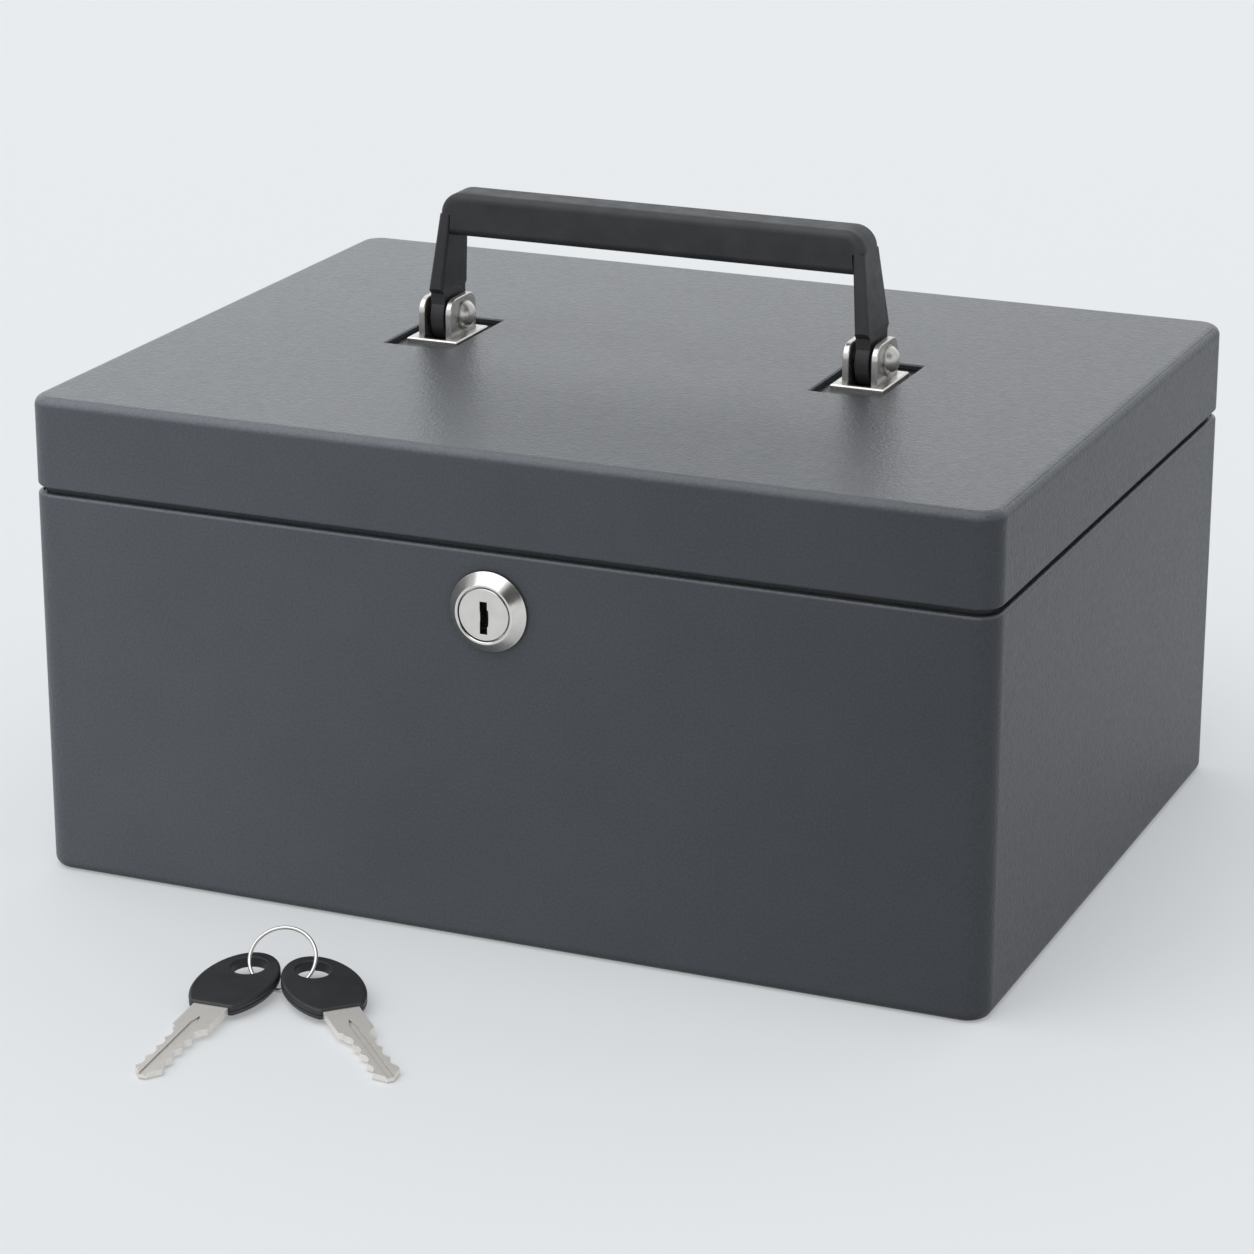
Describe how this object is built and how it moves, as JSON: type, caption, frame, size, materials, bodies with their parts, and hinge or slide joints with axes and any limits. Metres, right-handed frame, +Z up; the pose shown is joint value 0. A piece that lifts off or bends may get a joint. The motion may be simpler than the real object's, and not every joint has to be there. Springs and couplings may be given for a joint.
{
  "type": "file chest",
  "caption": "Rectangular sheet-steel file chest with a hinged lid, folding top handle in recessed brackets, front cam lock and keys on a ring.",
  "frame": {"origin": "middle of the chest's flat bottom", "axes": "+X along the width, to the right seen from the lock side; -Y out of the front with the lock; +Z up"},
  "size_m": [0.32, 0.3699, 0.2062],
  "materials": {
    "chest_paint": "fine textured powder coat, satin",
    "well_paint": "fine textured powder coat, satin",
    "bracket_nickel": "satin nickel plate",
    "lock_nickel": "satin nickel plate",
    "hinge_steel": "zinc-plated steel",
    "wafer_brass": "stamped",
    "handle_black": "fine spark-eroded texture, satin",
    "key_black": "fine moulded texture",
    "key_silver": "nickel silver, milled",
    "ring_wire": "polished spring wire"
  },
  "bodies": {
    "body": {"body_shell": "chest_paint", "body_side_left": "chest_paint", "body_side_right": "chest_paint", "body_rim_front": "chest_paint", "body_rim_back": "chest_paint", "hinge_body_leaf_left": "hinge_steel", "hinge_body_leaf_right": "hinge_steel", "hinge_body_rivets": "hinge_steel", "hinge_pins": "hinge_steel", "lock_barrel": "lock_nickel", "lock_washer": "lock_nickel", "lock_nut": "lock_nickel"},
    "lid": {"lid_shell": "chest_paint", "lid_side_left": "chest_paint", "lid_side_right": "chest_paint", "hinge_lid_leaf_left": "hinge_steel", "hinge_lid_leaf_right": "hinge_steel", "hinge_lid_rivets": "hinge_steel", "handle_well_left": "well_paint", "handle_well_right": "well_paint", "handle_bracket_left": "bracket_nickel", "handle_bracket_right": "bracket_nickel", "bracket_studs": "hinge_steel", "handle_pins": "bracket_nickel", "lid_strike": "hinge_steel", "strike_stud": "hinge_steel"},
    "handle": {"handle_arm_left": "handle_black", "handle_arm_right": "handle_black", "handle_grip": "handle_black", "handle_core": "hinge_steel"},
    "lock": {"lock_plug": "lock_nickel", "lock_wafers": "wafer_brass", "lock_cam": "hinge_steel", "cam_washer": "hinge_steel", "cam_screw": "hinge_steel"},
    "key_ring": {"key_ring": "ring_wire"},
    "key_a": {"key_a_head": "key_black", "key_a_blade": "key_silver"},
    "key_b": {"key_b_head": "key_black", "key_b_blade": "key_silver"}
  },
  "joints": [
    {"name": "lid_hinge", "type": "hinge", "parent": "body", "child": "lid", "pos_m": [0, 0.116, 0.1239], "axis": [-1, 0, 0], "range_deg": [0, 103]},
    {"name": "handle_fold", "type": "hinge", "parent": "lid", "child": "handle", "pos_m": [0, 0.0085, 0.1641], "axis": [1, 0, 0], "range_deg": [-68, 68]},
    {"name": "lock_turn", "type": "hinge", "parent": "body", "child": "lock", "pos_m": [0, -0.12, 0.109], "axis": [0, 1, 0], "range_deg": [0, 90]},
    {"name": "keys_lift", "type": "slide", "parent": "body", "child": "key_ring", "axis": [0, 0, 1], "range_m": [0, 0.05]},
    {"name": "key_a_swing", "type": "hinge", "parent": "key_ring", "child": "key_a", "pos_m": [-0.0545, -0.1776, 0.0046], "axis": [0, 0, -1], "range_deg": [0, 10]},
    {"name": "key_b_swing", "type": "hinge", "parent": "key_ring", "child": "key_b", "pos_m": [-0.0353, -0.1726, 0.0046], "axis": [0, 0, 1], "range_deg": [0, 10]}
  ]
}
